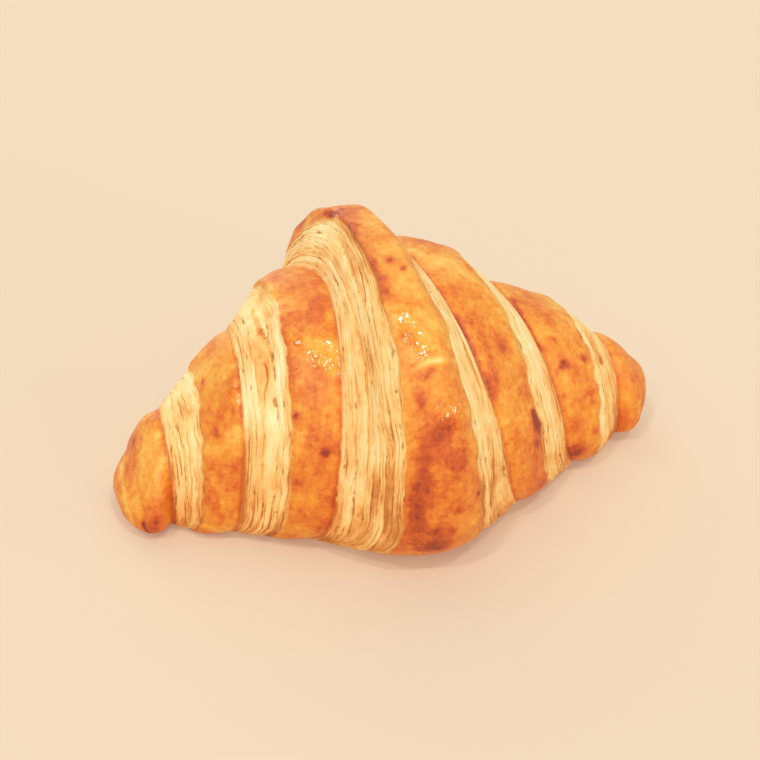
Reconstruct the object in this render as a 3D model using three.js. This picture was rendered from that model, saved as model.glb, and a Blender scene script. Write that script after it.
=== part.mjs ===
// Croissant, one solid of rolled dough: seven crust bands with stepped, layered slopes between them.
// Millimetres, +X along the roll, -Y front, +Z up, standing on z = 0 with the origin under its middle.
import * as THREE from "three";

// Where the widest band sits along the roll, and how far the two ends reach from it
const MIDDLE = -4;
const REACH = { left: 65, right: 71.2 };

// The sheet is rolled, so each crust edge and each foot of a slope is a helix.
// Places are measured from MIDDLE along the crown; a run is how far a step moves outward
// while the roll turns a quarter from the crown down to the front, and a back run how far it
// moves inward while the roll turns a quarter down to the back.
const OUTER_STEPS = {
  left: {
    edge: [25.2, 44.5],
    edgeRun: [5.8, 3.6],
    edgeBackRun: [1.4, 3.2],
    foot: [35.4, 53.2],
    footRun: [4.7, 0.7],
    footBackRun: [3.5, 3.0],
  },
  right: {
    edge: [21.6, 48.6],
    edgeRun: [8.8, 2.2],
    edgeBackRun: [4.4, 5.0],
    foot: [30.6, 59.0],
    footRun: [10.2, 0.9],
    footBackRun: [4.0, 5.0],
  },
};

// The middle wrap: its crust on either side of its own centre line, then the slope below it
const MIDDLE_WRAP = {
  left: {
    crust: 5.7,
    crustRun: 4.7,
    crustBackRun: -0.6,
    slope: 5.2,
    slopeRun: 4.8,
    slopeBackRun: 2.0,
  },
  right: {
    crust: 0.4,
    crustRun: 6.4,
    crustBackRun: 0.0,
    slope: 2.4,
    slopeRun: 8.8,
    slopeBackRun: -1.5,
  },
};
const APEX_BLUNTNESS = 5;
const APEX_LEAN = 4.6;

// Half widths and heights of the roll at the middle, then outward at each crust edge and foot,
// and at the first foot where it comes round to the back. A back step is the share of the first
// slope's step that is left there.
const MIDDLE_SIZE = { width: 49.2, backWidth: 46.4, height: 67.2 };
const BACK_STEP = { width: 0.2, height: 0.5 };
const SIZES = {
  left: {
    width: { edge: [52.0, 30.2, 19.6], foot: [35.0, 23.8, 14.0], back: 43.2 },
    height: { edge: [66.8, 51.4, 32.8], foot: [53.6, 42.8, 24.3], back: 57.0 },
  },
  right: {
    width: { edge: [50.2, 32.2, 22.0], foot: [40.0, 23.4, 14.0], back: 44.4 },
    height: { edge: [64.2, 53.2, 35.1], foot: [58.4, 44.6, 25.0], back: 61.8 },
  },
};

// The rounded ends: where they start to close and how bluntly, their half width and height,
// the level they close at, and the last small step on them
const TIP = {
  left: { start: 50, bluntness: 3.6, width: 18, height: 11.4, level: 6.4 },
  right: { start: 56, bluntness: 2.6, width: 14.6, height: 17.3, level: 12.2 },
};
const TIP_STEP = { at: 0.62, deep: 1.1 };

// Cross-section: super-ellipse above and below its widest line, cut flat by the tray
const UPPER_POWER = 2.18;
const LOWER_POWER = 3.0;
const WIDEST_LEVEL = 0.29;
const BELOW_TRAY = 1.12;
const BACK_SHARE = 0.87;

// Small departures from a straight, even roll
const LEFT_BOW = 1.6;
const RIGHT_LIFT = 2.2;
const CRUST_BULGE = 0.8;
const LIP = 0.45;
const CREASE = 0.9;
const LAYER_STEP = 0.7;
const LAYERS = 3;
const UNEVEN = 0.5;

// How finely the surface is faceted
const COLUMNS = 56;
const CRUST_ROWS = 5;
const SLOPE_ROWS = 2 * LAYERS;
const TIP_ROWS = 8;

const lerp = (a, b, t) => a + (b - a) * t;
const clamp = (v, low, high) => Math.min(high, Math.max(low, v));
const smooth = (t) => t * t * (3 - 2 * t);

// A list's value at a real number of turns, carried on in a straight line past its ends
function atTurn(list, turn) {
  const i = clamp(Math.floor(turn), 0, list.length - 2);
  return lerp(list[i], list[i + 1], turn - i);
}

// Runs past zero without a corner: the innermost turn narrows to a blunt apex at the back
function blunted(value) {
  return 0.5 * (value + Math.hypot(value, APEX_BLUNTNESS));
}

// The centre line of the middle wrap drifts to the left behind the crown
function apexDrift(degrees) {
  return APEX_LEAN * smooth(clamp((degrees - 90) / 72, 0, 1));
}

// Distance of a crust edge or a foot from MIDDLE, outward on its own side
function stepAt(side, kind, wrap, degrees) {
  const quarters = (90 - degrees) / 90;
  const run = quarters < 0 ? "BackRun" : "Run";
  if (wrap > 0) {
    const steps = OUTER_STEPS[side];
    return steps[kind][wrap - 1] + steps[kind + run][wrap - 1] * quarters;
  }
  const own = MIDDLE_WRAP[side];
  const drift = apexDrift(degrees) * (side === "left" ? 1 : -1);
  const edge = drift + blunted(own.crust + own["crust" + run] * quarters);
  return kind === "edge" ? edge : edge + blunted(own.slope + own["slope" + run] * quarters);
}

// Size at the foot of a slope
function footSize(sizes, turn) {
  if (turn >= 0) {
    return atTurn(sizes.foot, turn);
  }
  return lerp(sizes.foot[0], sizes.back, smooth(Math.min(1, -4 * turn)));
}

// Size at a crust edge; behind the crown the middle wrap thins to the last leaf of dough
function edgeSize(sizes, turn, backStep) {
  if (turn >= 0) {
    return atTurn(sizes.edge, turn);
  }
  const step = sizes.edge[0] - sizes.foot[0];
  return footSize(sizes, turn) + step * lerp(1, backStep, smooth(Math.min(1, -4 * turn)));
}

// Wander of the crust, a sum of slow waves with no repeat along the roll
function wander(x, degrees, seed) {
  const a = THREE.MathUtils.degToRad(degrees);
  return (
    Math.sin(0.21 * x + 2.0 * a + seed) * 0.5 +
    Math.sin(0.13 * x - 3.0 * a + 2.3 * seed) * 0.35 +
    Math.sin(0.37 * x + 5.0 * a + 4.1 * seed) * 0.25
  );
}

// Size of the surface where it crosses an angle: how far out, how wide and how high it is
function sizeAt(side, zone, t, degrees) {
  const turned = (90 - degrees) / 360;
  const wrap = Math.min(zone >> 1, 3);
  const turn = wrap + turned;
  const centre = apexDrift(degrees) * (side === "left" ? 1 : -1);
  const footBefore = wrap > 0 ? stepAt(side, "foot", wrap - 1, degrees) : centre;
  const { width, height } = SIZES[side];
  const behind = smooth(clamp((degrees - 90) / 90, 0, 1));
  const middleWidth = lerp(MIDDLE_SIZE.width, MIDDLE_SIZE.backWidth, behind);
  const widthBefore = wrap > 0 ? footSize(width, turn - 1) : middleWidth;
  const heightBefore = wrap > 0 ? footSize(height, turn - 1) : MIDDLE_SIZE.height;
  if (zone === 6) {
    const tip = TIP[side];
    const out = 1 - (1 - t) ** 1.7;
    const bulge = CRUST_BULGE * Math.sin(Math.PI * Math.min(1, 1.6 * out));
    const tucked = CREASE * (1 - smooth(Math.min(1, 6 * t)));
    const swell = bulge - tucked - (out > TIP_STEP.at ? TIP_STEP.deep : 0);
    return {
      out: lerp(footBefore, REACH[side], out),
      width: lerp(widthBefore, tip.width, out) + swell,
      height: lerp(heightBefore, tip.height, out) + swell,
    };
  }
  const edge = stepAt(side, "edge", wrap, degrees);
  const foot = stepAt(side, "foot", wrap, degrees);
  const edgeWidth = edgeSize(width, turn, BACK_STEP.width);
  const edgeHeight = edgeSize(height, turn, BACK_STEP.height);
  if (zone % 2 === 0) {
    // A crust band, from the crease it rises out of to its own edge
    const spread = wrap === 0 ? t * t : t;
    const puff = wrap === 0 ? 0 : CRUST_BULGE * 4 * t * (1 - t) - CREASE * (1 - t) ** 4;
    const lip = LIP * t ** 6;
    return {
      out: lerp(footBefore, edge, t),
      width: lerp(widthBefore, edgeWidth, spread) + puff + lip,
      height: lerp(heightBefore, edgeHeight, spread) + puff + lip,
    };
  }
  // A slope of cut layers, each standing a little proud of the next one down
  const layer = (t * LAYERS) % 1;
  const proud = LAYER_STEP * (t < 1 ? 0.5 - layer : 0) - CREASE * t ** 4;
  return {
    out: lerp(edge, foot, t),
    width: lerp(edgeWidth, footSize(width, turn), t) + proud,
    height: lerp(edgeHeight, footSize(height, turn), t) + proud,
  };
}

// A point of the surface, from a side, a zone between two steps, a share of that zone and an angle
function surfacePoint(side, zone, t, degrees) {
  const size = sizeAt(side, zone, t, degrees);
  const tip = TIP[side];
  const sign = side === "left" ? -1 : 1;
  const x = MIDDLE + sign * size.out;
  const closed = clamp((size.out - tip.start) / (REACH[side] - tip.start), 0, 1);
  const open = (1 - closed ** tip.bluntness) ** (1 / 2.2);
  const rough = UNEVEN * wander(x, degrees, 1.7) * open;
  const lift = x > 0 ? RIGHT_LIFT * clamp((x - 37) / 30, 0, 1) ** 1.5 : 0;
  const under = tip.level * (1 - open) + lift;
  const top = tip.level + (size.height - tip.level) * open + lift + rough;
  const a = THREE.MathUtils.degToRad(degrees);
  const c = Math.cos(a);
  const s = Math.sin(a);
  const power = s >= 0 ? UPPER_POWER : LOWER_POWER;
  const share = c < 0 ? BACK_SHARE : 1;
  const reach = (size.width * open + rough) * share * Math.abs(c) ** (2 / power);
  const level = lerp(under, top, WIDEST_LEVEL);
  const rise = Math.abs(s) ** (2 / power);
  const z = s >= 0 ? lerp(level, top, rise) : level - (level - under) * BELOW_TRAY * rise;
  const bow = x < 0 ? LEFT_BOW * (-x / REACH.left) ** 2.4 : 0;
  return [x, bow - Math.sign(c) * reach, Math.max(z, under)];
}

// The rows of facets from the left tip to the right one
function rowList() {
  const half = [];
  for (let zone = 0; zone < 7; zone += 1) {
    const rows = zone === 6 ? TIP_ROWS : zone % 2 === 0 ? CRUST_ROWS : SLOPE_ROWS;
    for (let i = zone === 0 ? 1 : 0; i < rows; i += 1) {
      half.push({ zone, t: i / rows });
    }
  }
  const left = half.map((row) => ({ side: "left", ...row })).reverse();
  const right = half.map((row) => ({ side: "right", ...row }));
  return [...left, { side: "right", zone: 0, t: 0 }, ...right];
}

const positions = [];
const triangles = [];

function addVertex(point) {
  positions.push(...point);
  return positions.length / 3 - 1;
}

const rows = rowList();
const grid = rows.map(({ side, zone, t }) => {
  const ids = [];
  for (let j = 0; j < COLUMNS; j += 1) {
    const degrees = -90 + (360 * (j + 0.5)) / COLUMNS;
    ids.push(addVertex(surfacePoint(side, zone, t, degrees)));
  }
  return ids;
});
const leftEnd = addVertex(surfacePoint("left", 6, 1, 90));
const rightEnd = addVertex(surfacePoint("right", 6, 1, 90));

function distance(a, b) {
  const d = [0, 1, 2].map((i) => positions[3 * a + i] - positions[3 * b + i]);
  return Math.hypot(...d);
}

// Columns turn from the underside over the front and the crown to the back
for (let i = 0; i + 1 < grid.length; i += 1) {
  for (let j = 0; j + 1 < COLUMNS; j += 1) {
    const a = grid[i][j];
    const b = grid[i + 1][j];
    const c = grid[i + 1][j + 1];
    const d = grid[i][j + 1];
    if (distance(a, c) < distance(b, d)) {
      triangles.push(a, b, c, a, c, d);
    } else {
      triangles.push(a, b, d, b, c, d);
    }
  }
}
for (let j = 0; j + 1 < COLUMNS; j += 1) {
  triangles.push(leftEnd, grid[0][j], grid[0][j + 1]);
  triangles.push(rightEnd, grid[grid.length - 1][j + 1], grid[grid.length - 1][j]);
}

// The helix leaves the first and last columns out of step, so they are sewn together under the roll
const firstSeam = [leftEnd, ...grid.map((ids) => ids[0]), rightEnd];
const lastSeam = [leftEnd, ...grid.map((ids) => ids[COLUMNS - 1]), rightEnd];
let p = 0;
let q = 0;
while (p + 1 < firstSeam.length || q + 1 < lastSeam.length) {
  const nextP = p + 1 < firstSeam.length ? positions[3 * firstSeam[p + 1]] : Infinity;
  const nextQ = q + 1 < lastSeam.length ? positions[3 * lastSeam[q + 1]] : Infinity;
  const corners = [firstSeam[p], lastSeam[q]];
  if (nextP <= nextQ) {
    p += 1;
    corners.push(firstSeam[p]);
  } else {
    q += 1;
    corners.push(lastSeam[q]);
  }
  if (new Set(corners).size === 3) {
    triangles.push(...corners);
  }
}

const geometry = new THREE.BufferGeometry();
geometry.setAttribute("position", new THREE.Float32BufferAttribute(positions, 3));
geometry.setIndex(triangles);
geometry.computeBoundingBox();
const middle = geometry.boundingBox.getCenter(new THREE.Vector3());
geometry.translate(-middle.x, -middle.y, -geometry.boundingBox.min.z);
geometry.computeVertexNormals();

const crust = new THREE.MeshStandardMaterial({ color: 0xd98a3c, roughness: 0.45, metalness: 0 });
const croissant = new THREE.Mesh(geometry, crust);
croissant.name = "croissant";

const part = new THREE.Group();
part.add(croissant);

export default part;
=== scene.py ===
"""Croissant in the shared frame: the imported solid's surface, finely divided and given its relief,
one procedural material of glazed crust and cut dough, and a plain pale studio."""

import math
from types import SimpleNamespace

import bpy
import numpy as np
from mathutils import Matrix, Vector


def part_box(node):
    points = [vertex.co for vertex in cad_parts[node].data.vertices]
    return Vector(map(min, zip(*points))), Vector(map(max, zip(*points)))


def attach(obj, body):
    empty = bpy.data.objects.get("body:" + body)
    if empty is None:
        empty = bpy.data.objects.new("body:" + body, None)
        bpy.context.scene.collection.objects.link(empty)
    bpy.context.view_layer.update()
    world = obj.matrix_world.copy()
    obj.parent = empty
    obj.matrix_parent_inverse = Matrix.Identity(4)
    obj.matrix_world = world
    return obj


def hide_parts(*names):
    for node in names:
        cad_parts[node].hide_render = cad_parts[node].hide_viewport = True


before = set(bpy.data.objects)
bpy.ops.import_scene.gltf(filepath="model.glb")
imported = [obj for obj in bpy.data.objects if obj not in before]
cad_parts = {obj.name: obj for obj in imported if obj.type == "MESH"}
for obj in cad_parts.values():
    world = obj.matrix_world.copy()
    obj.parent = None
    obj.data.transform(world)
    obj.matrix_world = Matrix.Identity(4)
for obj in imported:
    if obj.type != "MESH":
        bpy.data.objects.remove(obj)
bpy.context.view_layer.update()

# Sizes of the roll in millimetres and places along it, the same as in the part's source but for
# CREASE, which is shallower because the relief below deepens it. Angles round the roll are in
# degrees: 0 front, 90 crown, 180 back.
CROWN = 90
QUARTER = 90
MIDDLE = -4
REACH = {"left": 65, "right": 71.2}

# Each crust edge and each foot of a slope is a helix. A run is how far it moves outward while the
# roll turns a quarter from the crown down to the front, and a back run how far it moves inward
# while the roll turns a quarter down to the back.
OUTER_STEPS = {
    "left": {
        "edge": (25.2, 44.5),
        "edge_run": (5.8, 3.6),
        "edge_back_run": (1.4, 3.2),
        "foot": (35.4, 53.2),
        "foot_run": (4.7, 0.7),
        "foot_back_run": (3.5, 3.0),
    },
    "right": {
        "edge": (21.6, 48.6),
        "edge_run": (8.8, 2.2),
        "edge_back_run": (4.4, 5.0),
        "foot": (30.6, 59.0),
        "foot_run": (10.2, 0.9),
        "foot_back_run": (4.0, 5.0),
    },
}

# The middle wrap: its crust on either side of its own centre line, then the slope below it
MIDDLE_WRAP = {
    "left": {
        "crust": 5.7,
        "crust_run": 4.7,
        "crust_back_run": -0.6,
        "slope": 5.2,
        "slope_run": 4.8,
        "slope_back_run": 2.0,
    },
    "right": {
        "crust": 0.4,
        "crust_run": 6.4,
        "crust_back_run": 0.0,
        "slope": 2.4,
        "slope_run": 8.8,
        "slope_back_run": -1.5,
    },
}
APEX_BLUNTNESS = 5
APEX_LEAN = 4.6
APEX_LEAN_SPAN = 72

# Half widths and heights at the middle, then outward at each crust edge and foot, and at the first
# foot where it comes round to the back. A back step is the share of the first step that is left there.
MIDDLE_SIZE = {"width": 49.2, "back_width": 46.4, "height": 67.2}
BACK_STEP = {"width": 0.2, "height": 0.5}
SIZES = {
    "left": {
        "width": {"edge": (52.0, 30.2, 19.6), "foot": (35.0, 23.8, 14.0), "back": 43.2},
        "height": {"edge": (66.8, 51.4, 32.8), "foot": (53.6, 42.8, 24.3), "back": 57.0},
    },
    "right": {
        "width": {"edge": (50.2, 32.2, 22.0), "foot": (40.0, 23.4, 14.0), "back": 44.4},
        "height": {"edge": (64.2, 53.2, 35.1), "foot": (58.4, 44.6, 25.0), "back": 61.8},
    },
}

# The rounded ends, and the small fold on each
TIP = {
    "left": {"start": 50, "bluntness": 3.6, "width": 18, "height": 11.4, "level": 6.4},
    "right": {"start": 56, "bluntness": 2.6, "width": 14.6, "height": 17.3, "level": 12.2},
}
TIP_STEP = {"at": 0.62, "deep": 1.1, "wide": 0.08}
TIP_GATHER = 1.7
TIP_POWER = 2.2
TIP_BULGE_RATE = 1.6
TIP_CREASE_RATE = 6

# Cross-section: super-ellipse above and below its widest line, cut flat by the tray
UPPER_POWER = 2.18
LOWER_POWER = 3.0
WIDEST_LEVEL = 0.29
BELOW_TRAY = 1.12
BACK_SHARE = 0.87

# Small departures from a straight, even roll
LEFT_BOW = 1.6
LEFT_BOW_POWER = 2.4
RIGHT_LIFT = 2.2
RIGHT_LIFT_START = 37
RIGHT_LIFT_LENGTH = 30
RIGHT_LIFT_POWER = 1.5
CRUST_BULGE = 0.8
LIP = 0.45
LIP_POWER = 6
CREASE = 0.6
CREASE_POWER = 4
UNEVEN = 0.5
UNEVEN_SEED = 1.7
# Each wave: height, turn a millimetre along the roll, turns round it, and turn for the seed
UNEVEN_WAVES = [(0.5, 0.21, 2, 1), (0.35, 0.13, -3, 2.3), (0.25, 0.37, 5, 4.1)]

# How finely the surface is divided
COLUMNS = 260
CRUST_ROWS = 14
SLOPE_ROWS = 38
TIP_ROWS = 26
TIP_ZONE = 6

# Wander of the crust edges. Each wave: height, length in degrees, and turn for the seed
RAGGED_EDGE = 0.35
RAGGED_WAVES = [(0.6, 4.3, 1), (0.4, 1.9, 2.7), (0.3, 9.1, 4.4)]

# Leaves of cut dough: how many each slope shows, their relief, and the lengths in millimetres over
# which they sway and flutter, and over which their tones, lines and crevices change
LEAVES = {"left": (8, 6, 5), "right": (4, 5, 4)}
CRUST_LEAVES = 10
LEAF_DEPTH = 0.36
SHALLOWEST_LEAF = 0.35
LEAF_FLATNESS = 0.75
LEAF_WANDER = 0.95
LEAF_UNEVEN = 0.16
SWAY_LENGTH = 34
SWAY_PER_LEAF = 0.4
FLUTTER_LENGTH = 8
FLUTTER_PER_LEAF = 0.8
FLUTTER_SHARE = 0.22
LEAF_TONE_LENGTH = 15
LINE_LENGTH = 9
CREVICE_LENGTH = 2.6
CREVICE_DEPTH = 0.45
CREVICE_WIDTH = 0.16
DEEPER_LOW_DOWN = 0.8
LOW_FRONT_START = 25
LOW_FRONT_SPAN = 50

# Relief of the crust and its edges: depths in millimetres, then the size of what they shape
CRUST_LUMPS = 0.3
LUMP_SIZE = 12
CRUST_BLISTERS = 0.22
BLISTER_SIZE = 3.4
BLISTER_THRESHOLD = 0.25
EDGE_CURL = 0.3
EDGE_CURL_LOWEST = -0.4
EDGE_CURL_LENGTH = 6
EDGE_CURL_WIDTH = 1.3
EDGE_DROP = 0.3
EDGE_DROP_WIDTH = 2.6
EDGE_DROP_START = 0.4
CREASE_DEPTH = 0.1
CREASE_WIDTH = 0.7
WRINKLE_DEPTH = 0.16
WRINKLE_SIZE = 2.2

# Behind the crown the middle wrap's crust covers part of its left slope
REAR_COVER = 0.3
REAR_COVER_START = 84
REAR_COVER_SPAN = 50

# Seeds of the relief's noise, and numbers that keep the noise of neighbours apart
SEEDS = {
    "sway": 3,
    "flutter": 4,
    "leaf_tone": 5,
    "line": 6,
    "crevice": 7,
    "lumps": 11,
    "blisters": 12,
    "curl": 13,
    "wrinkles": 17,
}
SIDE_OFFSET = 31.0
STRAND_OFFSET = 7.3
CRACK_OFFSET = 5.1
EDGE_OFFSET = 7.0
OCTAVE_OFFSET = 3.7

# Factors and shifts that scramble a lattice point into a random number
CELL_FACTORS = (73856093, 19349663, 83492791)
SEED_FACTOR = 2654435
SCRAMBLES = ((13, 1274126177), (16, 374761393))


def lerp(a, b, t):
    return a + (b - a) * t


def smooth(t):
    return t * t * (3 - 2 * t)


def at_turn(values, turn):
    """A list's value at a real number of turns, carried on in a straight line past its ends."""
    i = np.clip(np.floor(turn).astype(int), 0, len(values) - 2)
    v = np.array(values, float)
    return lerp(v[i], v[i + 1], turn - i)


def blunted(value):
    return 0.5 * (value + np.hypot(value, APEX_BLUNTNESS))


def apex_drift(side, degrees):
    """How far the centre line of the middle wrap has moved outward on this side behind the crown."""
    drift = APEX_LEAN * smooth(np.clip((degrees - CROWN) / APEX_LEAN_SPAN, 0, 1))
    return drift if side == "left" else -drift


def step_at(side, kind, wrap, degrees):
    """Distance of a crust edge or a foot from the middle, outward on its own side."""
    quarters = (CROWN - degrees) / QUARTER
    front = quarters >= 0
    if wrap > 0:
        steps = OUTER_STEPS[side]
        run = np.where(front, steps[kind + "_run"][wrap - 1], steps[kind + "_back_run"][wrap - 1])
        return steps[kind][wrap - 1] + run * quarters
    own = MIDDLE_WRAP[side]
    crust_run = np.where(front, own["crust_run"], own["crust_back_run"])
    edge = apex_drift(side, degrees) + blunted(own["crust"] + crust_run * quarters)
    if kind == "edge":
        return edge
    slope_run = np.where(front, own["slope_run"], own["slope_back_run"])
    return edge + blunted(own["slope"] + slope_run * quarters)


def share_behind(turn):
    """From 0 at the crown to 1 a quarter turn behind it."""
    return smooth(np.clip(-4 * turn, 0, 1))


def foot_size(sizes, turn):
    """Size at the foot of a slope."""
    behind = lerp(sizes["foot"][0], sizes["back"], share_behind(turn))
    return np.where(turn >= 0, at_turn(sizes["foot"], turn), behind)


def edge_size(sizes, turn, back_step):
    """Size at a crust edge; behind the crown the middle wrap thins to the last leaf of dough."""
    step = sizes["edge"][0] - sizes["foot"][0]
    behind = foot_size(sizes, turn) + step * lerp(1, back_step, share_behind(turn))
    return np.where(turn >= 0, at_turn(sizes["edge"], turn), behind)


def wander(x, degrees, seed):
    """Slow waves over the whole surface."""
    a = np.radians(degrees)
    waves = [h * np.sin(rate * x + turns * a + phase * seed) for h, rate, turns, phase in UNEVEN_WAVES]
    return sum(waves)


def ragged(side, wrap, degrees):
    """Small wander of a crust edge along the roll."""
    seed = 3.1 * wrap + (0 if side == "left" else 1.7)
    waves = [h * np.sin(degrees / length + phase * seed) for h, length, phase in RAGGED_WAVES]
    return RAGGED_EDGE * sum(waves)


def tip_size(side, t, foot_before, width_before, height_before):
    """Distance out, half width and height of a rounded end."""
    tip = TIP[side]
    out = 1 - (1 - t) ** TIP_GATHER
    bulge = CRUST_BULGE * math.sin(math.pi * min(1, TIP_BULGE_RATE * out))
    tucked = CREASE * (1 - smooth(min(1, TIP_CREASE_RATE * t)))
    past_fold = (out - TIP_STEP["at"]) / TIP_STEP["wide"] + 0.5
    swell = bulge - tucked - TIP_STEP["deep"] * smooth(min(1, max(0, past_fold)))
    return (
        lerp(foot_before, REACH[side], out),
        lerp(width_before, tip["width"], out) + swell,
        lerp(height_before, tip["height"], out) + swell,
    )


def size_at(side, zone, t, degrees):
    """Distance out, half width and height of the surface, in a zone between two steps."""
    wrap = zone >> 1
    turn = wrap + (CROWN - degrees) / 360
    width = SIZES[side]["width"]
    height = SIZES[side]["height"]
    if wrap > 0:
        foot_before = step_at(side, "foot", wrap - 1, degrees)
        width_before = foot_size(width, turn - 1)
        height_before = foot_size(height, turn - 1)
    else:
        foot_before = apex_drift(side, degrees)
        behind = smooth(np.clip((degrees - CROWN) / QUARTER, 0, 1))
        width_before = lerp(MIDDLE_SIZE["width"], MIDDLE_SIZE["back_width"], behind)
        height_before = MIDDLE_SIZE["height"]
    if zone == TIP_ZONE:
        return tip_size(side, t, foot_before, width_before, height_before)
    edge = step_at(side, "edge", wrap, degrees) + ragged(side, wrap, degrees)
    foot = step_at(side, "foot", wrap, degrees)
    edge_width = edge_size(width, turn, BACK_STEP["width"])
    edge_height = edge_size(height, turn, BACK_STEP["height"])
    if zone % 2 == 0:
        spread = t * t if wrap == 0 else t
        rounded = CRUST_BULGE * 4 * t * (1 - t) - CREASE * (1 - t) ** CREASE_POWER
        puff = 0 if wrap == 0 else rounded
        lip = LIP * t**LIP_POWER
        return (
            lerp(foot_before, edge, t),
            lerp(width_before, edge_width, spread) + puff + lip,
            lerp(height_before, edge_height, spread) + puff + lip,
        )
    tucked = CREASE * t**CREASE_POWER
    return (
        lerp(edge, foot, t),
        lerp(edge_width, foot_size(width, turn), t) - tucked,
        lerp(edge_height, foot_size(height, turn), t) - tucked,
    )


def surface_points(side, zone, t, degrees):
    """Points of one row of the surface, at the given angles round the roll."""
    out, width, height = size_at(side, zone, t, degrees)
    tip = TIP[side]
    x = MIDDLE + (-out if side == "left" else out)
    closed = np.clip((out - tip["start"]) / (REACH[side] - tip["start"]), 0, 1)
    opening = (1 - closed ** tip["bluntness"]) ** (1 / TIP_POWER)
    rough = UNEVEN * wander(x, degrees, UNEVEN_SEED) * opening
    lifted = np.clip((x - RIGHT_LIFT_START) / RIGHT_LIFT_LENGTH, 0, 1)
    lift = RIGHT_LIFT * lifted**RIGHT_LIFT_POWER
    under = tip["level"] * (1 - opening) + lift
    top = tip["level"] + (height - tip["level"]) * opening + lift + rough
    c = np.cos(np.radians(degrees))
    s = np.sin(np.radians(degrees))
    power = np.where(s >= 0, UPPER_POWER, LOWER_POWER)
    share = np.where(c < 0, BACK_SHARE, 1)
    reach = (width * opening + rough) * share * np.abs(c) ** (2 / power)
    level = lerp(under, top, WIDEST_LEVEL)
    rise = np.abs(s) ** (2 / power)
    below = level - (level - under) * BELOW_TRAY * rise
    z = np.where(s >= 0, lerp(level, top, rise), below)
    bow = LEFT_BOW * (np.clip(-x, 0, None) / REACH["left"]) ** LEFT_BOW_POWER
    return np.stack([x, bow - np.sign(c) * reach, np.maximum(z, under)], axis=-1)


def row_list():
    """Side, zone and share of the zone for each row, from the left tip to the right one."""
    half = []
    for zone in range(TIP_ZONE + 1):
        rows = TIP_ROWS if zone == TIP_ZONE else CRUST_ROWS if zone % 2 == 0 else SLOPE_ROWS
        for i in range(1 if zone == 0 else 0, rows):
            half.append((zone, i / rows))
    left = [("left", zone, t) for zone, t in reversed(half)]
    right = [("right", zone, t) for zone, t in half]
    return left + [("right", 0, 0.0)] + right


def lattice(cell, seed):
    """A repeatable random value from -1 to 1 at each point of a whole-number lattice."""
    value = cell.astype(np.int64) @ np.array(CELL_FACTORS) + seed * SEED_FACTOR
    for shift, factor in SCRAMBLES:
        value = (value ^ (value >> shift)) * factor
    return ((value >> 8) & 0xFFFF) / 32767.5 - 1


def noise(points, size, seed, octaves=2):
    """Smooth noise from about -1 to 1, in lumps of about the given size (one number or three)."""
    summed = 0
    weight = 1.0
    for octave in range(octaves):
        p = points / np.array(size) * 2**octave + OCTAVE_OFFSET * octave
        cell = np.floor(p).astype(int)
        f = smooth(p - cell)
        value = 0
        for corner in np.ndindex(2, 2, 2):
            share = np.prod(np.where(np.array(corner) == 1, f, 1 - f), axis=-1)
            value = value + share * lattice(cell + np.array(corner), seed + octave)
        summed = summed + weight * value
        weight *= 0.5
    return summed


def near_line(points, line):
    """Distance of each point from a line through a few places."""
    if len(line) == 1:
        return np.linalg.norm(points - line[0], axis=-1)
    nearest = np.full(points.shape[:-1], np.inf)
    for a, b in zip(line[:-1], line[1:]):
        along = b - a
        share = np.clip((points - a) @ along / (along @ along), 0, 1)
        gap = np.linalg.norm(points - a - share[..., None] * along, axis=-1)
        nearest = np.minimum(nearest, gap)
    return nearest


# The smooth surface, as a grid of rows along the roll and columns round it
rows = row_list()
degrees = -90 + 360 * (np.arange(COLUMNS) + 0.5) / COLUMNS
points = np.stack([surface_points(side, zone, t, degrees) for side, zone, t in rows])
ends = [surface_points(side, TIP_ZONE, 1.0, np.array([float(CROWN)])) for side in ("left", "right")]
crown = int(np.argmin(np.abs(degrees - CROWN)))

low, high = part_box("croissant")
cad_middle = 500 * (low + high)
flat = points.reshape(-1, 3)
shift = np.array(
    [
        cad_middle.x - 0.5 * (flat[:, 0].min() + flat[:, 0].max()),
        cad_middle.y - 0.5 * (flat[:, 1].min() + flat[:, 1].max()),
        0,
    ]
)
points = points + shift
ends = [end + shift for end in ends]

normals = np.cross(np.gradient(points, axis=0), np.gradient(points, axis=1))
normals /= np.linalg.norm(normals, axis=-1, keepdims=True) + 1e-9

# Distances over the surface: round the roll from the crown, and across each zone from its inner side
round_steps = np.linalg.norm(np.diff(points, axis=1), axis=-1)
along = np.concatenate([np.zeros((len(rows), 1)), np.cumsum(round_steps, axis=1)], axis=1)
along = along - along[:, crown : crown + 1]
row_steps = np.linalg.norm(np.diff(points, axis=0), axis=-1)
zone_of = np.array([zone for _, zone, _ in rows])
share_of = np.array([t for _, _, t in rows])
is_left = np.array([side == "left" for side, _, _ in rows])
zone_width = np.zeros(points.shape[:2])
for left_side in (True, False):
    for zone in range(TIP_ZONE + 1):
        own = np.flatnonzero((zone_of == zone) & (is_left == left_side))
        steps = row_steps[np.clip(own, 0, len(row_steps) - 1)]
        zone_width[own] = steps.mean(axis=0) * len(own)

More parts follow.
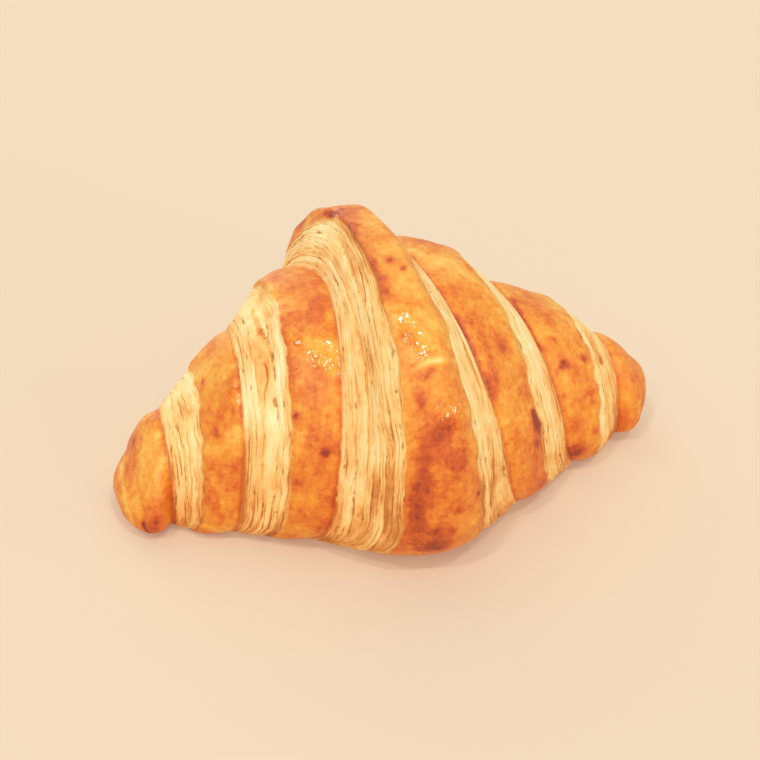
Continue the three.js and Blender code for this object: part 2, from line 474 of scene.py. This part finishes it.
# How far each point is from the crust edge and the foot of its zone, and how deep inside a slope.
# The outermost and the middle zone lack one of the two, which counts as far away.
FAR = 99.0
is_slope = (zone_of % 2 == 1)[:, None]
is_tip = (zone_of == TIP_ZONE)[:, None]
is_middle = (zone_of == 0)[:, None]
is_left_slope = ((zone_of == 1) & is_left)[:, None]
across = share_of[:, None] * zone_width
rest = zone_width - across
rear = smooth(np.clip((degrees - REAR_COVER_START) / REAR_COVER_SPAN, 0, 1))[None, :]
covered = np.where(is_left_slope, REAR_COVER * rear * zone_width, 0)
edge_gap = np.where(is_slope, across - covered, np.where(is_tip, FAR, rest))
foot_gap = np.where(is_slope, rest, np.where(is_middle, FAR, across))
inside = np.minimum(edge_gap, foot_gap)
slope_depth = np.where(is_slope, inside, -inside)

# Cut leaves: ridges along each slope that wander, swell and run together as they go round the roll.
# They are counted outward from the middle, crust bands too, so that the count has no jumps.
leaf_count = np.full(len(rows), CRUST_LEAVES)
leaf_start = np.zeros(len(rows))
for side in ("left", "right"):
    start = 0.5
    for zone in range(TIP_ZONE + 1):
        count = LEAVES[side][zone >> 1] if zone % 2 == 1 else CRUST_LEAVES
        own = (is_left == (side == "left")) & (zone_of == zone)
        leaf_count[own] = count
        leaf_start[own] = start
        start += count
even_leaf = (leaf_start + share_of * leaf_count)[:, None] + 0 * along
side_offset = SIDE_OFFSET * is_left[:, None] + 0 * along
pinned = np.where(is_slope, np.sqrt(np.clip(np.sin(np.pi * share_of), 0, 1))[:, None], 0)
slow = np.stack([SWAY_PER_LEAF * even_leaf, along / SWAY_LENGTH, side_offset], axis=-1)
quick = np.stack([FLUTTER_PER_LEAF * even_leaf, along / FLUTTER_LENGTH, side_offset], axis=-1)
sway = noise(slow, 1, SEEDS["sway"], 1)
sway += FLUTTER_SHARE * noise(quick, 1, SEEDS["flutter"], 1)
leaf = even_leaf + LEAF_WANDER * sway * pinned
within = leaf - np.floor(leaf)
strand = np.stack([STRAND_OFFSET * np.floor(leaf), along, side_offset], axis=-1)
between = np.stack([CRACK_OFFSET * np.round(leaf), along, side_offset], axis=-1)

# Lines between leaves show over most of their length, and open into crevices only here and there
leaf_tone = noise(strand, (1, LEAF_TONE_LENGTH, 1), SEEDS["leaf_tone"])
line_noise = noise(between, (1, LINE_LENGTH, 1), SEEDS["line"], 1)
line_share = smooth(np.clip(1.3 * line_noise + 0.4, 0, 1))
crevice_noise = noise(between, (1, CREVICE_LENGTH, 1), SEEDS["crevice"], 1)
crevice = smooth(np.clip(4 * crevice_noise - 1.6, 0, 1))
low_front = smooth(np.clip((LOW_FRONT_START - degrees) / LOW_FRONT_SPAN, 0, 1))[None, :]
round_ridge = np.sqrt(np.clip(4 * within * (1 - within), 0, 1)) - LEAF_FLATNESS
crack = np.exp(-((np.abs(within - np.round(within)) / CREVICE_WIDTH) ** 2))
leaf_depth = LEAF_DEPTH * lerp(SHALLOWEST_LEAF, 1, line_share) * (1 + DEEPER_LOW_DOWN * low_front)
past_edge = np.exp(-np.abs(edge_gap) / EDGE_DROP_WIDTH)
slope_relief = leaf_depth * round_ridge * pinned
slope_relief += LEAF_UNEVEN * leaf_tone * pinned - CREVICE_DEPTH * crevice * crack * pinned
slope_relief -= EDGE_DROP * past_edge * (1 - np.exp(-np.abs(edge_gap) / EDGE_DROP_START))

# Crust: slow lumps, small blisters, and an edge that curls up here and there
wrap_of = np.minimum(zone_of >> 1, 2)
lumps = noise(points, LUMP_SIZE, SEEDS["lumps"])
blisters = np.clip(noise(points, BLISTER_SIZE, SEEDS["blisters"]) - BLISTER_THRESHOLD, 0, None)
edge_line = np.stack([EDGE_OFFSET * wrap_of[:, None] + side_offset, along, side_offset], axis=-1)
curl = np.clip(noise(edge_line, (1, EDGE_CURL_LENGTH, 1), SEEDS["curl"]), EDGE_CURL_LOWEST, 1)
crust_relief = CRUST_LUMPS * lumps + CRUST_BLISTERS * blisters
crust_relief += EDGE_CURL * curl * np.exp(-((edge_gap / EDGE_CURL_WIDTH) ** 2))
relief = np.where(slope_depth > 0, slope_relief, crust_relief)
relief -= CREASE_DEPTH * np.exp(-((foot_gap / CREASE_WIDTH) ** 2))

# Marks on the surface, each a place or a line of places given by its x and its angle round the roll
# (0 front, 90 crown), with its radius in mm and its strength. Toast darkens the colour, and under the
# second and third wraps to the right it is painted shade. Gold lightens it or darkens it where it is
# negative, and along the crest of the first wrap to the right it is a painted highlight. Wrinkled
# glaze glints. The others are depths in mm.
TOAST_AND_SHADE = [
    ([(-9.4, 104), (-10.2, 86), (-10.4, 74), (-10.4, 62)], 2.2, 0.24),
    ([(-13.2, 136), (-12.4, 126)], 1.6, 0.3),
    ([(-6.2, 74)], 1.0, 0.35),
    ([(-3.9, 70)], 0.8, 0.35),
    ([(-8.2, 49)], 1.7, 0.12),
    ([(-8.6, 38), (-8.0, 28)], 2.0, 0.12),
    ([(-5.4, 21), (-3.4, 14)], 4.4, 0.2),
    ([(-9.0, 20), (-10.6, 6), (-10.8, -8)], 2.0, 0.2),
    ([(-2, -14), (-7, -16)], 3.0, 0.16),
    ([(-6.5, 24), (-7.0, 8), (-7.5, -14)], 8.0, 0.13),
    ([(-16, 8), (-15, -16)], 5.0, 0.08),
    ([(8.5, 16), (10.5, 4)], 3.0, 0.14),
    ([(-7.3, -5)], 0.8, 0.4),
    ([(3.2, 3)], 0.8, 0.35),
    ([(-22.5, 92), (-21.0, 74)], 2.0, 0.14),
    ([(-26.2, 20)], 1.3, 0.5),
    ([(-31.0, 35)], 0.8, 0.4),
    ([(-32.4, 9)], 2.2, 0.2),
    ([(-26, 4), (-26, -20)], 3.0, 0.1),
    ([(-46.7, 48)], 3.0, 0.22),
    ([(-46.7, 84)], 0.8, 0.45),
    ([(-44, 24), (-43.5, -6)], 4.0, 0.14),
    ([(-52, 76), (-52, 60)], 2.5, 0.05),
    ([(-62.4, 105)], 2.4, 0.25),
    ([(-62.0, 16), (-61.5, -4)], 3.6, 0.2),
    ([(-64.0, 4), (-63.4, -14)], 0.6, 0.4),
    ([(18.3, 47)], 2.4, 0.25),
    ([(12.0, 52), (14.0, 34)], 1.4, 0.16),
    ([(23.2, 20), (24.6, 15)], 0.9, 0.55),
    ([(25, 10), (25.5, -12)], 5.0, 0.14),
    ([(41, 44), (42, 22)], 5.0, 0.08),
    ([(60, 40), (60, 0)], 5.0, 0.06),
    ([(7.7, 65), (8.6, 52), (9.7, 42), (11.5, 33), (13.0, 27)], 1.3, 0.22),
    ([(8.7, 18), (8.9, 0)], 3.4, 0.12),
    ([(40.1, 36), (40.6, 24)], 4.0, 0.06),
    ([(-42.7, 74), (-43.0, 60)], 3.0, 0.05),
    ([(-24.5, 104), (-24.0, 88)], 4.0, 0.05),
    ([(-9.6, 113), (-10.6, 103)], 0.8, 0.2),
    ([(29.6, 84), (30.4, 68), (32.2, 50)], 0.9, 0.2),
    ([(37.2, 58)], 1.1, 0.32),
    ([(43.6, 49)], 1.2, 0.36),
    ([(38.1, 42)], 1.2, 0.32),
    ([(50.6, 54)], 0.8, 0.5),
    ([(49.5, 72), (50.2, 56)], 2.4, 0.16),
    # Painted shade on the undersides of the second and third wraps to the right, where they curve
    # under
    ([(39.6, -8)], 3.0, 0.25),
    ([(54.4, -6)], 2.5, 0.3),
]
GOLD_AND_HIGHLIGHT = [
    ([(-6.4, 36), (-5.6, 31)], 3.0, 0.03),
    ([(-45.9, 40), (-45.6, 26)], 4.0, 0.13),
    ([(-61.7, 92), (-61.0, 76)], 3.0, 0.1),
    ([(-32.4, 92), (-34.5, 70)], 4.0, -0.16),
    ([(-51.4, 84), (-51.0, 72)], 3.0, -0.14),
    ([(-5.5, 92), (-5.0, 80)], 4.0, -0.06),
    ([(4.9, 46), (6.2, 38)], 1.6, 0.2),
    ([(32.4, 6), (32.4, -6)], 3.0, 0.12),
    ([(-38.9, 8), (-38.9, -6)], 3.0, 0.12),
    ([(-2.6, 66), (-3.4, 48)], 4.0, 0.15),
    ([(-8.4, 41), (-3.8, 40.5), (1.5, 42)], 0.7, 0.36),
    ([(8.0, 66), (10.0, 50), (11.4, 40)], 1.1, 0.16),
    ([(5.5, 92), (8.5, 84)], 2.4, 0.2),
    # Painted highlight along the crest of the first wrap to the right
    ([(12.6, 86), (18.5, 72)], 2.6, 0.22),
    ([(-25.5, 66), (-22.5, 56)], 3.2, 0.14),
    ([(-43.2, 40)], 2.5, 0.1),
    ([(-59.5, 88), (-58.5, 60)], 3.0, 0.1),
    ([(-58.0, 83)], 1.0, 0.25),
    ([(-57.4, 53)], 1.0, 0.25),
    ([(-65.2, 118), (-66.4, 60), (-66.6, 0)], 1.1, 0.26),
    ([(66.4, 100), (66.4, 20)], 0.8, 0.26),
    ([(39.5, 74)], 3.0, 0.12),
]
WRINKLED = [
    ([(-26.4, 77), (-24.6, 64), (-21.0, 54)], 3.6, 1.0),
    ([(-44.6, 72), (-42.0, 54)], 3.2, 1.0),
    ([(-8.6, 58), (-6.4, 45)], 2.6, 0.9),
    ([(-3.6, 27), (1.0, 24)], 3.6, 1.0),
    ([(19.4, 32)], 2.8, 1.0),
]
BLISTERS = [
    ([(-27.9, 57)], 1.5, 0.28),
    ([(-27.6, 66)], 1.2, 0.2),
    ([(-24.3, 67)], 1.3, 0.22),
    ([(-24.2, 60)], 1.3, 0.22),
    ([(-23.8, 51)], 1.4, 0.26),
    ([(-21.9, 47)], 1.2, 0.2),
    ([(-21.0, 55)], 1.2, 0.22),
    ([(-18.7, 75)], 1.2, 0.22),
    ([(-43.5, 62)], 1.3, 0.26),
    ([(-41.8, 66)], 1.1, 0.2),
    ([(-41.6, 52)], 1.3, 0.26),
    ([(-8.0, 57)], 1.4, 0.28),
    ([(-8.0, 52)], 1.1, 0.2),
    ([(-6.2, 46)], 1.3, 0.28),
    ([(-3.2, 26)], 1.4, 0.28),
    ([(-3.6, 22)], 1.2, 0.26),
    ([(1.0, 25)], 1.3, 0.28),
    ([(19.1, 31)], 1.3, 0.26),
]
GROOVES = [
    ([(-8.8, 110), (-9.8, 101)], 0.8, 0.9),
    ([(7.0, 69), (8.0, 58), (8.9, 50), (9.3, 42), (10.8, 33)], 0.35, 0.5),
]
RIDGES = [
    ([(-50.2, 60), (-49.6, 30), (-50.2, -8)], 0.5, 0.4),
]


def place(x, angle):
    """The point of the grid nearest to an x and an angle round the roll."""
    column = int(np.argmin(np.abs(degrees - angle)))
    row = int(np.argmin(np.abs(points[:, column, 0] - x)))
    return points[row, column]


def marked(marks):
    """Sum of soft spots and lines, each strongest on its own line."""
    summed = np.zeros(points.shape[:2])
    for line, radius, strength in marks:
        gap = near_line(points, [place(x, angle) for x, angle in line])
        summed += strength * np.exp(-((gap / radius) ** 2))
    return summed


wrinkled = np.clip(marked(WRINKLED), 0, 1)
relief += marked(RIDGES) + marked(BLISTERS) - marked(GROOVES)
relief += WRINKLE_DEPTH * wrinkled * noise(points, WRINKLE_SIZE, SEEDS["wrinkles"])

# The relief fades to a quarter in the lowest 2 mm, where the croissant rests
grounded = np.clip(points[..., 2] / 2, 0, 1)
placed = points + normals * (relief * lerp(0.25, 1, grounded))[..., None]
placed[..., 2] = np.maximum(placed[..., 2], 0)


def crust_mesh():
    """One closed mesh over the grid, sewn together under the roll where the helix is out of step."""
    count = len(rows)
    vertices = np.concatenate([placed.reshape(-1, 3), ends[0], ends[1]])
    index = np.arange(count * COLUMNS).reshape(count, COLUMNS)
    a = index[:-1, :-1].ravel()
    b = index[1:, :-1].ravel()
    c = index[1:, 1:].ravel()
    d = index[:-1, 1:].ravel()
    faces = np.stack([a, b, c, d], axis=1).tolist()
    left_end = count * COLUMNS
    right_end = left_end + 1
    for j in range(COLUMNS - 1):
        faces.append([left_end, int(index[0, j]), int(index[0, j + 1])])
        faces.append([right_end, int(index[-1, j + 1]), int(index[-1, j])])
    first = [left_end, *index[:, 0].tolist(), right_end]
    last = [left_end, *index[:, -1].tolist(), right_end]
    p = 0
    q = 0
    while p + 1 < len(first) or q + 1 < len(last):
        next_p = vertices[first[p + 1], 0] if p + 1 < len(first) else math.inf
        next_q = vertices[last[q + 1], 0] if q + 1 < len(last) else math.inf
        corners = [first[p], last[q]]
        if next_p <= next_q:
            p += 1
            corners.append(first[p])
        else:
            q += 1
            corners.append(last[q])
        if len(set(corners)) == 3:
            faces.append(corners)
    mesh = bpy.data.meshes.new("croissant_crust")
    mesh.from_pydata((vertices / 1000).tolist(), [], faces)
    mesh.polygons.foreach_set("use_smooth", [True] * len(mesh.polygons))
    return mesh


def keep_attribute(mesh, name, kind, values):
    """Stores one value for each vertex of the grid, and repeats the end rows' values at the ends."""
    attribute = mesh.attributes.new(name, kind, "POINT")
    tail = [values[0, crown], values[-1, crown]]
    flat_values = np.concatenate([values.reshape(-1, *values.shape[2:]), np.array(tail)])
    field = "vector" if kind == "FLOAT_VECTOR" else "value"
    attribute.data.foreach_set(field, flat_values.astype(np.float32).ravel())


# What the material reads: the leaf and the way round it, its tones and cracks, the distances from
# crust edge and foot, up to the farthest that matters, and the marks
FARTHEST_READ = 9
mesh = crust_mesh()
signed_leaf = np.where(is_left[:, None], -leaf, leaf)
grain = np.stack([signed_leaf, along, 0 * along], axis=-1)
strand_values = np.stack([leaf_tone, line_share, crevice], axis=-1)
tone = np.stack([marked(TOAST_AND_SHADE), marked(GOLD_AND_HIGHLIGHT), wrinkled], axis=-1)
keep_attribute(mesh, "dough", "FLOAT_VECTOR", grain)
keep_attribute(mesh, "strand", "FLOAT_VECTOR", strand_values)
keep_attribute(mesh, "slope_depth", "FLOAT", slope_depth)
keep_attribute(mesh, "edge_gap", "FLOAT", np.minimum(edge_gap, FARTHEST_READ))
keep_attribute(mesh, "foot_gap", "FLOAT", np.minimum(foot_gap, FARTHEST_READ))
keep_attribute(mesh, "tone", "FLOAT_VECTOR", tone)

croissant = bpy.data.objects.new("croissant_crust", mesh)
bpy.context.scene.collection.objects.link(croissant)

# Colours from pale to dark for the crust and from dark to pale for the dough, as red, green and
# blue of 0 to 255, and the brown of the flecks in the cracks
CRUST_TONES = [
    (0.0, (250, 218, 128)),
    (0.2, (246, 188, 78)),
    (0.42, (238, 149, 43)),
    (0.6, (225, 115, 31)),
    (0.78, (203, 84, 24)),
    (1.0, (150, 50, 16)),
]
DOUGH_TONES = [
    (0.0, (204, 118, 46)),
    (0.25, (246, 174, 90)),
    (0.5, (255, 212, 132)),
    (0.75, (255, 232, 166)),
    (1.0, (255, 246, 208)),
]
FLECK_TONE = (186, 106, 36)
FLECK_COVER = 0.75

# Where on its colours the crust and the dough lie before any pattern or mark
CRUST_BAKE = 0.43
DOUGH_PALENESS = 0.6

# Finish: dry crust, glazed crust and cut dough, and how deep the fine relief of the bump is
DRY_ROUGHNESS = 0.46
GLAZED_ROUGHNESS = 0.09
SLOPE_ROUGHNESS = 0.75
GLAZE_LUMPS = (380, 380, 150)
BUMP_DEPTH = 0.00035

# The Mix node's sockets for each kind of value: first input, second input, output
MIX_SOCKETS = {"FLOAT": (2, 3, 0), "RGBA": (6, 7, 2)}


# Shader nodes, added and linked by short calls
def srgb(*values):
    """A colour of 0 to 255 a channel, as the linear one that a shader takes."""
    linear = []
    for value in values:
        share = value / 255
        linear.append(share / 12.92 if share < 0.0405 else ((share + 0.055) / 1.055) ** 2.4)
    return (*linear, 1.0)


def add(tree, kind, inputs=None, **settings):
    """Adds a node; each input is given a value, or another node's output to link."""
    made = tree.nodes.new(kind)
    for name, value in settings.items():
        setattr(made, name, value)
    for key, value in (inputs or {}).items():
        if isinstance(value, bpy.types.NodeSocket):
            tree.links.new(value, made.inputs[key])
        else:
            made.inputs[key].default_value = value
    return made


def maths(tree, operation, a, b):
    return add(tree, "ShaderNodeMath", {0: a, 1: b}, operation=operation).outputs[0]


def total(tree, *terms):
    """Sum of value outputs and numbers, each given with the number it is multiplied by."""
    result = 0.0
    for value, factor in terms:
        part = add(tree, "ShaderNodeMath", {0: value, 1: factor, 2: result}, operation="MULTIPLY_ADD")
        result = part.outputs[0]
    return result


def texture(tree, vector, scale, detail, roughness=0.5):
    """Noise of about -0.5 to 0.5; on a place in the object the scale is in lumps a metre."""
    node = add(
        tree,
        "ShaderNodeTexNoise",
        {"Vector": vector, "Scale": scale, "Detail": detail, "Roughness": roughness},
    )
    return maths(tree, "SUBTRACT", node.outputs["Fac"], 0.5)


def stretched(tree, vector, scales, detail, roughness=0.5):
    """Noise with a scale of its own along each axis."""
    node = add(tree, "ShaderNodeVectorMath", {0: vector, 1: scales}, operation="MULTIPLY")
    return texture(tree, node.outputs[0], 1.0, detail, roughness)


def fibres(tree, grain, per_leaf, per_mm, detail, roughness=0.5):
    """Noise drawn out along the leaves: lumps a leaf across them, and lumps a millimetre along."""
    return stretched(tree, grain, (per_leaf, per_mm, 1), detail, roughness)


def step_up(tree, value, start, end):
    """From 0 at the start value to 1 at the end value, smoothly."""
    node = add(
        tree,
        "ShaderNodeMapRange",
        {"Value": value, "From Min": start, "From Max": end},
        interpolation_type="SMOOTHSTEP",
    )
    return node.outputs["Result"]


def step_down(tree, value, start, end):
    """From 1 at the start value to 0 at the end value, smoothly."""
    return maths(tree, "SUBTRACT", 1.0, step_up(tree, value, start, end))


def ramp(tree, value, stops):
    node = add(tree, "ShaderNodeValToRGB", {"Fac": value})
    elements = node.color_ramp.elements
    while len(elements) < len(stops):
        elements.new(0.5)
    for element, (position, colour) in zip(elements, stops):
        element.position = position
        element.color = srgb(*colour)
    return node.outputs["Color"]


def mixed(tree, share, a, b, kind):
    """From a where the share is 0 to b where it is 1."""
    first, second, result = MIX_SOCKETS[kind]
    node = add(tree, "ShaderNodeMix", {0: share, first: a, second: b}, data_type=kind)
    return node.outputs[result]


def stored(tree, name, output):
    return add(tree, "ShaderNodeAttribute", attribute_name=name).outputs[output]


def parts_of(tree, vector):
    return add(tree, "ShaderNodeSeparateXYZ", {0: vector}).outputs


def surface_values(tree):
    """What is known about each place on the surface, as node outputs by name."""
    spot = add(tree, "ShaderNodeTexCoord").outputs["Object"]
    grain = stored(tree, "dough", "Vector")
    leaf_shade, line_share, crevice = parts_of(tree, stored(tree, "strand", "Vector"))
    toast_and_shade, gold_and_highlight, wrinkle = parts_of(tree, stored(tree, "tone", "Vector"))
    return SimpleNamespace(
        spot=spot,
        grain=grain,
        leaf=parts_of(tree, grain)[0],
        leaf_shade=leaf_shade,
        line_share=line_share,
        crevice=crevice,
        toast_and_shade=toast_and_shade,
        gold_and_highlight=gold_and_highlight,
        wrinkle=wrinkle,
        depth=stored(tree, "slope_depth", "Fac"),
        edge=stored(tree, "edge_gap", "Fac"),
        foot=stored(tree, "foot_gap", "Fac"),
        # Painted shade low down: 1 at the floor, fading to 0 by 34 mm up
        low=step_down(tree, parts_of(tree, spot)[2], 0.002, 0.034),
    )


def shared_patterns(tree, at):
    """The noise that more than one of the colours, the shine and the relief follow."""
    return SimpleNamespace(
        blotches=texture(tree, at.spot, 190, 3, 0.6),
        mottling=texture(tree, at.spot, 520, 3, 0.6),
        pores=texture(tree, at.spot, 1300, 2),
        threads=fibres(tree, at.grain, 1.6, 0.06, 3),
        fine=fibres(tree, at.grain, 4.5, 0.3, 2),
        wavering=texture(tree, at.spot, 700, 2),
    )


def crust_colour(tree, at, pattern):
    """Patches, stains, wisps and specks, darker or yellower marks, painted shade low down and at
    creases.
    """
    patches = texture(tree, at.spot, 62, 2)
    stains = step_up(tree, texture(tree, at.spot, 130, 3, 0.55), 0.02, 0.1)
    clearings = step_up(tree, texture(tree, at.spot, 85, 2), 0.03, 0.14)
    scorched = step_up(tree, total(tree, (at.toast_and_shade, 1.0), (pattern.blotches, 0.8)), 0.16, 0.23)
    # Painted shade: the crust darkens within 1.3 mm of the crease at the foot of the slope above it
    crease_shade = step_down(tree, at.foot, 0.0, 1.3)
    wisps = fibres(tree, at.grain, 0.9, 0.09, 4, 0.6)
    specks = step_up(tree, texture(tree, at.spot, 430, 1), 0.17, 0.25)
    bake = total(
        tree,
        (CRUST_BAKE, 1.0),
        (patches, 0.5),
        (pattern.blotches, 0.55),
        (pattern.mottling, 0.42),
        (pattern.pores, 0.2),
        (wisps, 0.24),
        (stains, 0.07),
        (clearings, -0.1),
        (scorched, 0.1),
        (crease_shade, 0.17),
        (specks, 0.12),
        # painted shade low down
        (at.low, 0.07),
        (at.toast_and_shade, 1.0),
        (at.gold_and_highlight, -1.0),
    )
    return ramp(tree, bake, CRUST_TONES)


def dough_colour(tree, at, pattern):
    """Pale cut dough in long threads, tan between leaves, brown flecks in cracks, painted shade low
    down and at the foot.
    """
    cloud = texture(tree, at.spot, 130, 4, 0.6)
    long_hairs = step_up(tree, fibres(tree, at.grain, 3.4, 0.05, 2), 0.07, 0.16)
    hairs = step_up(tree, fibres(tree, at.grain, 2.6, 0.24, 4, 0.65), 0.07, 0.17)
    off_line = maths(tree, "PINGPONG", at.leaf, 0.5)
    line = maths(tree, "MULTIPLY", step_down(tree, off_line, 0.0, 0.2), at.line_share)
    browned = step_down(tree, at.edge, 0.0, 1.6)
    # Painted shade: the dough darkens within 1 mm of the crease at its foot
    tucked = step_down(tree, at.foot, 0.0, 1.0)
    pale = total(
        tree,
        (DOUGH_PALENESS, 1.0),
        (at.leaf_shade, 0.2),
        (pattern.threads, 0.6),
        (pattern.fine, 0.4),
        (cloud, 0.9),
        (hairs, -0.26),
        (long_hairs, -0.3),
        # painted shade low down: more dark hairs and a darker dough
        (maths(tree, "MULTIPLY", long_hairs, at.low), -0.2),
        (line, -0.2),
        (at.low, -0.3),
        (browned, -0.2),
        (tucked, -0.3),
        (at.toast_and_shade, -1.6),
        (at.gold_and_highlight, 0.8),
    )
    rough_line = total(tree, (off_line, 1.0), (pattern.wavering, 0.7))
    fleck = maths(tree, "MULTIPLY", step_down(tree, rough_line, 0.0, 0.13), at.crevice)
    fleck_share = maths(tree, "MULTIPLY", fleck, FLECK_COVER)
    return mixed(tree, fleck_share, ramp(tree, pale, DOUGH_TONES), srgb(*FLECK_TONE), "RGBA")


def fine_height(tree, at, pattern, glazed, slope_share):
    """Pores on the dry crust, smooth upright runs where it is glazed, and threads on the slopes."""
    glaze = stretched(tree, at.spot, GLAZE_LUMPS, 2)
    dry_height = total(tree, (pattern.pores, 0.3), (pattern.mottling, 0.8))
    glaze_height = total(tree, (glaze, 2.4), (pattern.mottling, 0.2))
    crust_height = mixed(tree, glazed, dry_height, glaze_height, "FLOAT")
    slope_height = total(tree, (pattern.threads, 1.4), (pattern.fine, 1.0))
    return mixed(tree, slope_share, crust_height, slope_height, "FLOAT")


def baked_material():
    material = bpy.data.materials.new("baked_dough")
    material.use_nodes = True
    tree = material.node_tree
    tree.nodes.clear()
    at = surface_values(tree)
    pattern = shared_patterns(tree, at)
    slope_share = step_up(tree, total(tree, (at.depth, 1.0), (pattern.wavering, 1.6)), -0.35, 0.4)
    glazed = step_up(tree, total(tree, (at.wrinkle, 1.0), (pattern.blotches, 1.3)), 0.34, 0.5)
    crust = crust_colour(tree, at, pattern)
    cut_dough = dough_colour(tree, at, pattern)
    crust_roughness = mixed(tree, glazed, DRY_ROUGHNESS, GLAZED_ROUGHNESS, "FLOAT")
    height = fine_height(tree, at, pattern, glazed, slope_share)
    bump = add(tree, "ShaderNodeBump", {"Strength": 1.0, "Distance": BUMP_DEPTH, "Height": height})
    shader = add(
        tree,
        "ShaderNodeBsdfPrincipled",
        {
            "Base Color": mixed(tree, slope_share, crust, cut_dough, "RGBA"),
            "Roughness": mixed(tree, slope_share, crust_roughness, SLOPE_ROUGHNESS, "FLOAT"),
            "Specular IOR Level": 0.5,
            "Normal": bump.outputs["Normal"],
        },
    )
    output = add(tree, "ShaderNodeOutputMaterial")
    tree.links.new(shader.outputs["BSDF"], output.inputs["Surface"])
    return material


mesh.materials.append(baked_material())
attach(croissant, "root")
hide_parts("croissant")

# Stage: one wide pale floor
FLOOR_SIZE = 40.0
FLOOR_LOOKS = {
    "Base Color": srgb(208, 189, 164),
    "Emission Color": srgb(244, 220, 190),
    "Emission Strength": 0.22,
    "Roughness": 0.9,
    "Specular IOR Level": 0.0,
}
floor_mesh = bpy.data.meshes.new("floor")
half = FLOOR_SIZE / 2
floor_mesh.from_pydata(
    [(-half, -half, 0), (half, -half, 0), (half, half, 0), (-half, half, 0)], [], [(0, 1, 2, 3)]
)
floor = bpy.data.objects.new("floor", floor_mesh)
bpy.context.scene.collection.objects.link(floor)
floor_material = bpy.data.materials.new("pale_floor")
floor_material.use_nodes = True
floor_shader = floor_material.node_tree.nodes["Principled BSDF"]
for name, value in FLOOR_LOOKS.items():
    floor_shader.inputs[name].default_value = value
floor_mesh.materials.append(floor_material)

# Light: an even pale surround, wide suns from behind and in front, and small ones for the glints.
# Each sun: name, azimuth (0 from the front, 90 from the right), elevation, strength and spread.
SURROUND_COLOUR = (1.0, 0.985, 0.96, 1.0)
SURROUND_STRENGTH = 0.62
SUNS = [
    ("back_sun", 175, 50, 0.36, 60),
    ("rim_sun", 190, 14, 0.3, 20),
    ("front_sun", -30, 34, 0.29, 50),
    ("gloss_sun", 10, 62, 0.52, 5),
    ("left_gloss_sun", -52, 58, 0.46, 5),
    ("low_gloss_sun", 18, 15, 0.26, 4),
    ("far_left_gloss_sun", -44, 40, 0.22, 4),
    ("right_gloss_sun", 62, 18, 0.14, 4),
]
world = bpy.data.worlds.new("surround")
bpy.context.scene.world = world
world.use_nodes = True
world.node_tree.nodes["Background"].inputs["Color"].default_value = SURROUND_COLOUR
world.node_tree.nodes["Background"].inputs["Strength"].default_value = SURROUND_STRENGTH


def direction(azimuth, elevation):
    """The way towards an azimuth (0 the front, 90 the right) and an elevation, in degrees."""
    a = math.radians(azimuth)
    e = math.radians(elevation)
    return Vector((math.sin(a) * math.cos(e), -math.cos(a) * math.cos(e), math.sin(e)))


for name, azimuth, elevation, strength, spread in SUNS:
    light = bpy.data.lights.new(name, "SUN")
    light.energy = strength
    light.angle = math.radians(spread)
    lamp = bpy.data.objects.new(name, light)
    toward = direction(azimuth, elevation)
    lamp.rotation_mode = "QUATERNION"
    lamp.rotation_quaternion = toward.to_track_quat("Z", "Y")
    lamp.location = toward
    bpy.context.scene.collection.objects.link(lamp)

# Camera: the photograph's angle, aimed at the middle of its frame
AZIMUTH = -19.92
ELEVATION = 31.33
ROLL = 0.37
DISTANCE = 0.3705
TARGET = Vector((-0.0055, -0.0035, 0.03))
LENS = 75
SENSOR_WIDTH = 36
camera_data = bpy.data.cameras.new("camera")
camera_data.lens = LENS
camera_data.sensor_width = SENSOR_WIDTH
camera = bpy.data.objects.new("camera", camera_data)
back = direction(AZIMUTH, ELEVATION)
turn = back.to_track_quat("Z", "Y").to_matrix().to_4x4()
roll = Matrix.Rotation(math.radians(ROLL), 4, "Z")
camera.matrix_world = Matrix.Translation(TARGET + back * DISTANCE) @ turn @ roll
bpy.context.scene.collection.objects.link(camera)
bpy.context.scene.camera = camera
bpy.context.scene.view_settings.view_transform = "Standard"
